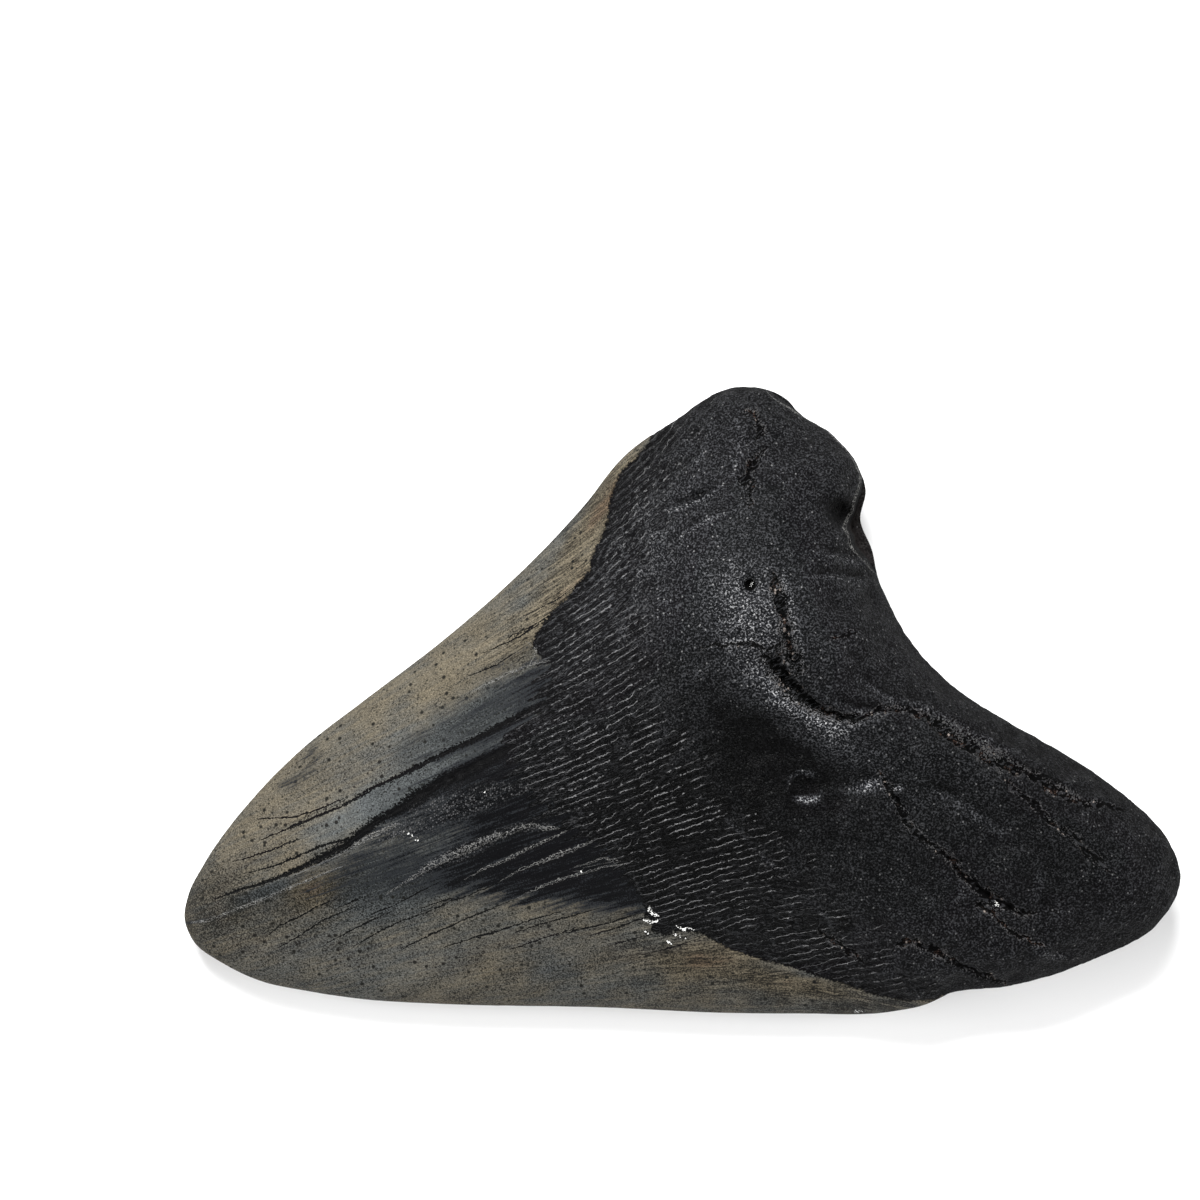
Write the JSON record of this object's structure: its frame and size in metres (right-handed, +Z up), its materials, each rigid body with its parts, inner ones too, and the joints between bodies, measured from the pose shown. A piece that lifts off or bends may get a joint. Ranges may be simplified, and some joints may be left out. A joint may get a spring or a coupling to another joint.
{
  "type": "megalodon tooth",
  "caption": "Large fossil shark tooth lying on its flatter face, with a worn grey-brown enamel crown, bare wrinkled dentine and a thick black cracked root.",
  "frame": {"origin": "on the resting surface, under the middle of the tooth's outline", "axes": "+X from the crown's tip towards the root's longer lobe, the tooth's longest extent; +Y across the tooth towards the root's shorter lobe; +Z up, out of the bulging lingual face, the shortest extent"},
  "size_m": [0.1468, 0.0926, 0.027],
  "materials": {
    "fossil_tooth": "satin black root and dentine, slightly glossy worn grey-brown enamel"
  },
  "bodies": {
    "root": {"tooth": "fossil_tooth"}
  },
  "joints": []
}
